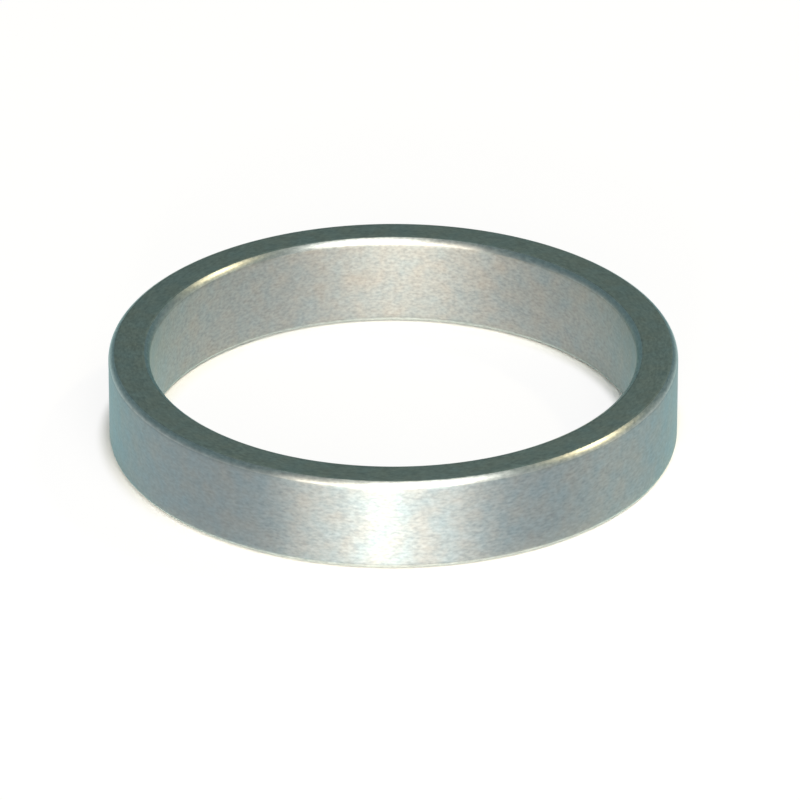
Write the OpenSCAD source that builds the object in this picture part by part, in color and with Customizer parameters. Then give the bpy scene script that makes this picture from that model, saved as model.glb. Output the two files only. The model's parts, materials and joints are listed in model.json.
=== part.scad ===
// Lock blocking ring: a plain turned ring that slips over a lock cylinder and sits
// behind its head, to take up the length by which the cylinder is too long for the door.
// The ring stands on its lower face. Z is the axis of the bore, and z = 0 is the lower face.

/* [Lock cylinder] */
// Outside diameter of the lock cylinder's thread
cylinder_d = 29.2; // [20:0.1:40]
// Room between the thread and the bore, on each side
bore_clearance = 0.35; // [0.1:0.05:1]

/* [Ring] */
// Thickness of the wall, from the bore to the outside
wall_t = 2.55; // [1.5:0.05:6]
// Height, the length that the ring takes up
ring_h = 5.9; // [3:0.1:13]

/* [Edges] */
// Radius of the two outer edges
outer_edge_r = 0.5; // [0.1:0.05:1]
// Radius of the two edges of the bore
bore_edge_r = 0.5; // [0.1:0.05:1]

/* [Hidden] */
$fn = 180;

bore_r = cylinder_d / 2 + bore_clearance;
outer_r = bore_r + wall_t;

// An edge takes at most this share of the wall or the height, so a flat is left between two edges.
edge_share = 0.45;
most_edge_r = edge_share * min(wall_t, ring_h);
outer_round = min(outer_edge_r, most_edge_r);
bore_round = min(bore_edge_r, most_edge_r);

// What lies outside a round corner of radius r. The corner's point is at the origin,
// and the material lies towards +X and +Y.
module corner_waste(r) {
    difference() {
        square(r);
        translate([r, r]) circle(r);
    }
}

// What the two edges of the lower face take off the section.
module lower_waste() {
    translate([bore_r, 0]) corner_waste(bore_round);
    translate([outer_r, 0]) mirror([1, 0]) corner_waste(outer_round);
}

// The ring's cross-section on one side of the axis: a rectangle with round corners.
module section() {
    difference() {
        translate([bore_r, 0]) square([wall_t, ring_h]);
        lower_waste();
        translate([0, ring_h]) mirror([0, 1]) lower_waste();
    }
}

// The whole ring, turned from one piece of metal.
module blocking_ring() {
    color([0.69, 0.70, 0.68]) rotate_extrude() section();
}

blocking_ring();
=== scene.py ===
"""A lock blocking ring: a plain turned steel ring that stands on a white floor.

The ring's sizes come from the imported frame. This script gives the ring an even mesh and a finish
for each of its surfaces, and adds the floor, the lamps and the camera. Lengths are in metres.
"""

import json
import math

import bpy
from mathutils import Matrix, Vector


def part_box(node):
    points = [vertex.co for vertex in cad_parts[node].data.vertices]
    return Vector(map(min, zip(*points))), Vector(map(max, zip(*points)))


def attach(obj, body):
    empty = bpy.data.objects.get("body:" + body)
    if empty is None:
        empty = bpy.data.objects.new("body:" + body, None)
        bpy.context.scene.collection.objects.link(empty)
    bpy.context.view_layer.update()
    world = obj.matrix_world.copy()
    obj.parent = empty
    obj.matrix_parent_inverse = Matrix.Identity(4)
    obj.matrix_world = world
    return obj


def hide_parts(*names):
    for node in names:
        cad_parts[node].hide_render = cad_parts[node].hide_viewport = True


MM = 0.001
NODE = "blocking_ring"

# The mesh: quads round the ring, steps round each edge and how many of them at each end keep the finish
# of the surface they lead on from, and the longest step along a straight stretch.
TURN_STEPS = 360
EDGE_STEPS = 10
EDGE_KEPT_STEPS = 2
STRAIGHT_STEP = 0.2 * MM
# Wear is full up to the first distance from the point of a corner, and ends at the second.
WEAR_MAP = "wear"
WEAR_FULL = 0.25 * MM
WEAR_END = 0.35 * MM
UV_MAP = "OFBake"
UV_STRIPS = 2
UV_MARGIN = 0.004

# The turned lines and the grain: their number per mm across the turning and per radian round the axis,
# their depth, and how far they make the metal smoother or rougher. The grain also shades the colour.
TURNED_DETAIL = 2.0
LINES_PER_MM = 14.0
LINES_ROUND = 8.0
LINE_DEPTH = 0.002 * MM
LINE_ROUGHNESS = 0.04
GRAIN_PER_MM = 6.5
GRAIN_ROUND = 56.0
GRAIN_DEPTH = 0.006 * MM
GRAIN_ROUGHNESS = 0.08
GRAIN_CONTRAST = 0.4
# The mottle: from its low end to its high end, the share of the warm colour and of the wear that shows.
MOTTLE_DETAIL = 3.0
MOTTLE_PER_MM = 0.8
MOTTLE_WARMTH = (-0.6, 1.6)
MOTTLE_WEAR = (0.5, 1.2)
WORN_COLOUR = (0.585, 0.615, 0.595)
# What the metal reflects at a grazing angle is tinted cool.
GRAZING_TINT = (0.72, 1.0, 1.0, 1.0)
# A quarter turn spreads the reflections across the turned lines.
ACROSS_LINES = 0.25
# Finishes: the material's name, roughness, anisotropy, cool colour and warm colour.
FINISHES = {
    "outside": ("turned_outside", 0.465, 0.855, (0.338, 0.414, 0.444), (0.4, 0.42, 0.412)),
    # The end faces keep their own rough faced finish, but their cool and warm colours are set far
    # darker than the steel of the other surfaces: painted shade that keeps the top face dark.
    "face": ("faced_end_painted_shade", 0.72, 0.0, (0.147, 0.21, 0.217), (0.164, 0.21, 0.199)),
    "bore": ("bored_inside", 0.555, 0.43, (0.36, 0.409, 0.415), (0.424, 0.419, 0.389)),
    "edge": ("broken_edge", 0.41, 0.84, (0.51, 0.565, 0.56), (0.57, 0.58, 0.55)),
}

# The camera, and where the middle of the ring lies in the picture, in pixels from its centre.
PICTURE_SIDE_PX = 800
CAMERA_ELEVATION = math.radians(27.77)
CAMERA_DISTANCE = 0.51
CAMERA_SENSOR_MM = 36
CAMERA_LENS_MM = 372.7
RING_RIGHT_PX = -6.7
RING_UP_PX = 9.0

# The floor, and the share of it that shows as plain white to the camera and in reflections.
# Within a margin of the ring's foot that share falls to nothing, so the contact shadow stays.
FLOOR_SIDE = 4.0
FLOOR_COLOUR = (0.95, 0.95, 0.95)
FLOOR_GLOW = 0.87
FOOT_MARGIN = 1.0 * MM

# The surroundings are an even, cool grey.
WORLD_COLOUR = (0.158, 0.232, 0.25)

# Lamps: azimuth and elevation in degrees, distance, width, height, watts and colour.
LAMPS = {
    "flash_lamp": (-4.5, 13, 0.6, 0.05, 0.05, 1.45, (1.0, 0.93, 0.82)),
    "front_lamp": (-5, 16, 0.6, 0.76, 0.28, 4.4, (1.0, 0.84, 0.70)),
    "key_lamp": (25, 58, 0.67, 0.36, 0.45, 2.85, (1.0, 0.95, 0.88)),
    "warm_lamp": (116, 49, 0.6, 0.045, 0.045, 1.05, (1.0, 0.82, 0.5)),
}


def ring_sizes(frame):
    """The ring's radii, height and edge radius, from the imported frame."""
    low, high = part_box(NODE)
    bore = next(m for m in frame["record"]["mounts"] if m["name"] == "cylinder_bore")
    height = high.z - low.z
    return {
        "outer_r": high.x,
        "bore_r": bore["dims"]["r_mm"] * MM,
        "height": height,
        "edge_r": (height - bore["dims"]["length_mm"] * MM) / 2,
    }


def section_outline(size):
    """Points (radius, height) round the ring's section, and the surface that starts at each point.

    The outline runs round the lower outer edge, up the outside, over the top and down the bore.
    """
    edge_r, height = size["edge_r"], size["height"]
    near, far = size["bore_r"] + edge_r, size["outer_r"] - edge_r
    centres = [(far, edge_r), (far, height - edge_r), (near, height - edge_r), (near, edge_r)]
    corners = []
    for number, (centre_r, centre_z) in enumerate(centres):
        corner = []
        for step in range(EDGE_STEPS + 1):
            angle = math.pi / 2 * (number - 1 + step / EDGE_STEPS)
            corner.append((centre_r + edge_r * math.cos(angle), centre_z + edge_r * math.sin(angle)))
        corners.append(corner)
    straights = ("outside", "face", "bore", "face")
    points, surfaces = [], []
    for number, straight in enumerate(straights):
        points += corners[number][:-1]
        surfaces += [straights[number - 1]] * EDGE_KEPT_STEPS
        surfaces += ["edge"] * (EDGE_STEPS - 2 * EDGE_KEPT_STEPS)
        surfaces += [straight] * EDGE_KEPT_STEPS
        start = Vector(corners[number][-1])
        end = Vector(corners[(number + 1) % len(corners)][0])
        steps = math.ceil((end - start).length / STRAIGHT_STEP)
        points += [tuple(start.lerp(end, step / steps)) for step in range(steps)]
        surfaces += [straight] * steps
    return points, surfaces


def ring_mesh(size, materials):
    """The ring as an even mesh of quads, with smooth shading and a map of straight strips."""
    outline, surfaces = section_outline(size)
    count = len(outline)
    vertices = []
    for turn in range(TURN_STEPS):
        angle = 2 * math.pi * turn / TURN_STEPS
        vertices += [(r * math.cos(angle), r * math.sin(angle), z) for r, z in outline]
    faces = []
    for turn in range(TURN_STEPS):
        here, there = turn * count, (turn + 1) % TURN_STEPS * count
        for point in range(count):
            after = (point + 1) % count
            faces.append((here + point, there + point, there + after, here + after))

    mesh = bpy.data.meshes.new(NODE)
    mesh.from_pydata(vertices, [], faces)
    names = list(materials)
    for name in names:
        mesh.materials.append(materials[name])
    mesh.polygons.foreach_set("material_index", [names.index(s) for s in surfaces] * TURN_STEPS)
    mesh.polygons.foreach_set("use_smooth", [True] * len(faces))
    mesh.uv_layers.new(name=UV_MAP).uv.foreach_set("vector", strip_map(outline))
    wear = mesh.attributes.new(WEAR_MAP, "FLOAT", "POINT")
    wear.data.foreach_set("value", edge_wear(outline, size) * TURN_STEPS)
    mesh.update()
    return mesh


def edge_wear(outline, size):
    """How far each point of the outline is worn bright, from 0 to 1."""
    corners = [(r, z) for r in (size["bore_r"], size["outer_r"]) for z in (0, size["height"])]
    worn = []
    for point in outline:
        away = min(math.dist(point, corner) for corner in corners)
        worn.append(min(max((WEAR_END - away) / (WEAR_END - WEAR_FULL), 0.0), 1.0))
    return worn


def strip_map(outline):
    """Each quad corner's place on the map: strips of the turn, one above the other."""
    lengths = [math.dist(p, outline[(i + 1) % len(outline)]) for i, p in enumerate(outline)]
    along = [sum(lengths[:i]) / sum(lengths) for i in range(len(outline) + 1)]
    per_strip = TURN_STEPS // UV_STRIPS
    places = []
    for turn in range(TURN_STEPS):
        strip, column = divmod(turn, per_strip)
        for point in range(len(outline)):
            for step_u, step_v in ((0, 0), (1, 0), (1, 1), (0, 1)):
                u = (column + step_u) / per_strip
                v = along[point + step_v]
                places.append(UV_MARGIN + u * (1 - 2 * UV_MARGIN))
                places.append((strip + UV_MARGIN + v * (1 - 2 * UV_MARGIN)) / UV_STRIPS)
    return places


class Nodes:
    """Adds nodes to a tree, each joined to the sockets or set to the values it is given."""

    def __init__(self, owner):
        owner.use_nodes = True
        self.tree = owner.node_tree
        self.tree.nodes.clear()

    def add(self, kind, inputs=None, **settings):
        node = self.tree.nodes.new(kind)
        for name, value in settings.items():
            setattr(node, name, value)
        for name, value in (inputs or {}).items():
            socket = node.inputs[name]
            if isinstance(value, bpy.types.NodeSocket):
                self.tree.links.new(value, socket)
            else:
                socket.default_value = value
        return node

    def maths(self, operation, first, second=0.0):
        return self.add("ShaderNodeMath", {0: first, 1: second}, operation=operation).outputs[0]

    def spread(self, value, low, high):
        """A value from 0 to 1 brought to run from low to high."""
        inputs = {"Value": value, "To Min": low, "To Max": high}
        return self.add("ShaderNodeMapRange", inputs).outputs["Result"]

    def rise(self, value, start, end):
        """From 0 at the start to 1 at the end, smoothly."""
        inputs = {"Value": value, "From Min": start, "From Max": end}
        return self.add("ShaderNodeMapRange", inputs, interpolation_type="SMOOTHSTEP").outputs["Result"]

    def blend(self, share, first, second):
        """A colour between two others."""
        mix = self.tree.nodes.new("ShaderNodeMix")
        mix.data_type = "RGBA"
        ends = [s for s in mix.inputs if s.type == "RGBA"]
        for socket, value in zip((mix.inputs[0], *ends), (share, first, second)):
            if isinstance(value, bpy.types.NodeSocket):
                self.tree.links.new(value, socket)
            else:
                socket.default_value = (*value, 1)
        return next(s for s in mix.outputs if s.type == "RGBA")

    def scaled(self, vector, scale):
        inputs = {0: vector, "Scale": scale}
        return self.add("ShaderNodeVectorMath", inputs, operation="SCALE").outputs[0]

    def noise(self, vector, scale, detail, **more):
        """Noise from 0 to 1."""
        inputs = {"Vector": vector, "Scale": scale, "Detail": detail, **more}
        kind = "4D" if "W" in more else "3D"
        return self.add("ShaderNodeTexNoise", inputs, noise_dimensions=kind).outputs["Fac"]


def steel(name, roughness, anisotropy, cool, warm):
    """Turned steel: fine lines round the axis, satin grain, a faint mottle and edges worn bright."""
    material = bpy.data.materials.new(name)
    nodes = Nodes(material)
    place = nodes.add("ShaderNodeTexCoord").outputs["Object"]
    in_mm = nodes.scaled(place, 1 / MM)
    split = nodes.add("ShaderNodeSeparateXYZ", {0: in_mm}).outputs
    level = nodes.add("ShaderNodeCombineXYZ", {"X": split["X"], "Y": split["Y"]}).outputs[0]
    radius = nodes.add("ShaderNodeVectorMath", {0: level}, operation="LENGTH").outputs["Value"]
    outward = nodes.add("ShaderNodeVectorMath", {0: level}, operation="NORMALIZE").outputs[0]

    def turned(per_mm, around):
        """Noise drawn out round the axis."""
        out = nodes.maths("MULTIPLY", radius, per_mm)
        across = nodes.add("ShaderNodeCombineXYZ", {"Z": out}).outputs[0]
        parts = {0: nodes.scaled(outward, around), 1: across}
        at = nodes.add("ShaderNodeVectorMath", parts, operation="ADD").outputs[0]
        up = nodes.maths("MULTIPLY", split["Z"], per_mm)
        return nodes.noise(at, 1.0, TURNED_DETAIL, W=up)

    lines = turned(LINES_PER_MM, LINES_ROUND)
    grain = turned(GRAIN_PER_MM, GRAIN_ROUND)
    mottle = nodes.noise(in_mm, MOTTLE_PER_MM, MOTTLE_DETAIL)

    wear = nodes.add("ShaderNodeAttribute", attribute_name=WEAR_MAP).outputs["Fac"]
    worn = nodes.maths("MULTIPLY", wear, nodes.spread(mottle, *MOTTLE_WEAR))
    metal = nodes.blend(nodes.spread(mottle, *MOTTLE_WARMTH), cool, warm)
    metal = nodes.blend(worn, metal, WORN_COLOUR)
    metal = nodes.scaled(metal, nodes.spread(grain, 1 - GRAIN_CONTRAST, 1 + GRAIN_CONTRAST))

    by_grain = nodes.spread(grain, -GRAIN_ROUGHNESS, GRAIN_ROUGHNESS)
    by_lines = nodes.spread(lines, -LINE_ROUGHNESS, LINE_ROUGHNESS)
    rough = nodes.maths("ADD", nodes.maths("ADD", by_grain, by_lines), roughness)
    cut = nodes.add("ShaderNodeBump", {"Height": lines, "Distance": LINE_DEPTH}).outputs["Normal"]
    relief = {"Height": grain, "Distance": GRAIN_DEPTH, "Normal": cut}
    bump = nodes.add("ShaderNodeBump", relief).outputs["Normal"]
    shader = nodes.add("ShaderNodeBsdfPrincipled", {
        "Base Color": metal,
        "Metallic": 1.0,
        "Roughness": rough,
        "Specular Tint": GRAZING_TINT,
        "Anisotropic": anisotropy,
        "Anisotropic Rotation": ACROSS_LINES,
        "Tangent": nodes.add("ShaderNodeTangent", direction_type="RADIAL", axis="Z").outputs[0],
        "Normal": bump,
    })
    nodes.add("ShaderNodeOutputMaterial", {"Surface": shader.outputs[0]})
    return material


def add_ring(frame):
    """The ring, in place of its plain solid."""
    materials = {surface: steel(*values) for surface, values in FINISHES.items()}
    ring = bpy.data.objects.new("turned_ring", ring_mesh(ring_sizes(frame), materials))
    bpy.context.scene.collection.objects.link(ring)
    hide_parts(NODE)
    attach(ring, "root")


def add_floor(size):
    """A white floor that runs out of the picture on all sides."""
    half = FLOOR_SIDE / 2
    mesh = bpy.data.meshes.new("floor")
    corners = [(-half, -half, 0), (half, -half, 0), (half, half, 0), (-half, half, 0)]
    mesh.from_pydata(corners, [], [(0, 1, 2, 3)])
    material = bpy.data.materials.new("floor_white")
    nodes = Nodes(material)
    ray = nodes.add("ShaderNodeLightPath").outputs
    seen = nodes.maths("ADD", ray["Is Camera Ray"], ray["Is Glossy Ray"])
    seen = nodes.maths("ADD", seen, ray["Is Transmission Ray"])
    place = nodes.add("ShaderNodeTexCoord").outputs["Object"]
    radius = nodes.add("ShaderNodeVectorMath", {0: place}, operation="LENGTH").outputs["Value"]
    middle = (size["bore_r"] + size["outer_r"]) / 2
    half_wall = (size["outer_r"] - size["bore_r"]) / 2
    away = nodes.maths("ABSOLUTE", nodes.maths("SUBTRACT", radius, middle))
    clear = nodes.maths("MULTIPLY", nodes.rise(away, half_wall, half_wall + FOOT_MARGIN), FLOOR_GLOW)
    mix = nodes.add("ShaderNodeMixShader", {"Fac": nodes.maths("MULTIPLY", seen, clear)})
    matt = nodes.add("ShaderNodeBsdfDiffuse", {"Color": (*FLOOR_COLOUR, 1)})
    glow = nodes.add("ShaderNodeEmission", {"Color": (1, 1, 1, 1), "Strength": 1.0})
    nodes.tree.links.new(matt.outputs[0], mix.inputs[1])
    nodes.tree.links.new(glow.outputs[0], mix.inputs[2])
    nodes.add("ShaderNodeOutputMaterial", {"Surface": mix.outputs[0]})
    mesh.materials.append(material)
    floor = bpy.data.objects.new("floor", mesh)
    bpy.context.scene.collection.objects.link(floor)


def direction(azimuth, elevation):
    """The way to a point in the sky. Azimuth 0 is the camera's side, and 90 is on its right."""
    return Vector((
        math.sin(azimuth) * math.cos(elevation),
        -math.cos(azimuth) * math.cos(elevation),
        math.sin(elevation),
    ))


def add_lamp(name, azimuth, elevation, distance, width, height, watts, colour):
    """A flat rectangular lamp that faces the ring."""
    lamp = bpy.data.lights.new(name, "AREA")
    lamp.shape = "RECTANGLE"
    lamp.size = width
    lamp.size_y = height
    lamp.energy = watts
    lamp.color = colour
    holder = bpy.data.objects.new(name, lamp)
    towards = direction(math.radians(azimuth), math.radians(elevation))
    holder.location = towards * distance
    holder.rotation_euler = (-towards).to_track_quat("-Z", "Y").to_euler()
    bpy.context.scene.collection.objects.link(holder)


def add_light():
    """Cool surroundings, a flash and a wide lamp in front, a key lamp above and a small warm lamp."""
    world = bpy.data.worlds.new("surroundings")
    nodes = Nodes(world)
    sky = nodes.add("ShaderNodeBackground", {"Color": (*WORLD_COLOUR, 1)})
    nodes.add("ShaderNodeOutputWorld", {"Surface": sky.outputs[0]})
    bpy.context.scene.world = world
    for name, values in LAMPS.items():
        add_lamp(name, *values)


def add_camera(size):
    """The camera, aimed so that the ring lies a little left of and above the picture's centre."""
    back = direction(0, CAMERA_ELEVATION)
    right = Vector((1, 0, 0))
    up = back.cross(right)
    per_px = CAMERA_DISTANCE * CAMERA_SENSOR_MM / CAMERA_LENS_MM / PICTURE_SIDE_PX
    middle = Vector((0, 0, size["height"] / 2))
    aim = middle - (right * RING_RIGHT_PX + up * RING_UP_PX) * per_px
    lens = bpy.data.cameras.new("camera")
    lens.sensor_width = CAMERA_SENSOR_MM
    lens.lens = CAMERA_LENS_MM
    camera = bpy.data.objects.new("camera", lens)
    camera.location = aim + back * CAMERA_DISTANCE
    camera.rotation_euler = (-back).to_track_quat("-Z", "Y").to_euler()
    bpy.context.scene.collection.objects.link(camera)
    bpy.context.scene.camera = camera


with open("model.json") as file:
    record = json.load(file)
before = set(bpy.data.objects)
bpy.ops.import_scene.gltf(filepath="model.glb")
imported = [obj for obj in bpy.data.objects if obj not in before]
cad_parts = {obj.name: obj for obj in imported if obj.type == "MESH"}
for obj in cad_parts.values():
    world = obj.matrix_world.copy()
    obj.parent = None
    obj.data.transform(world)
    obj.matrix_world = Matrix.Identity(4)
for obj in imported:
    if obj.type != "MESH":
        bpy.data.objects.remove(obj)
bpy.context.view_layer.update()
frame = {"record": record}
bpy.context.scene.view_settings.view_transform = "Standard"
size = ring_sizes(frame)
add_camera(size)
add_floor(size)
add_light()
add_ring(frame)
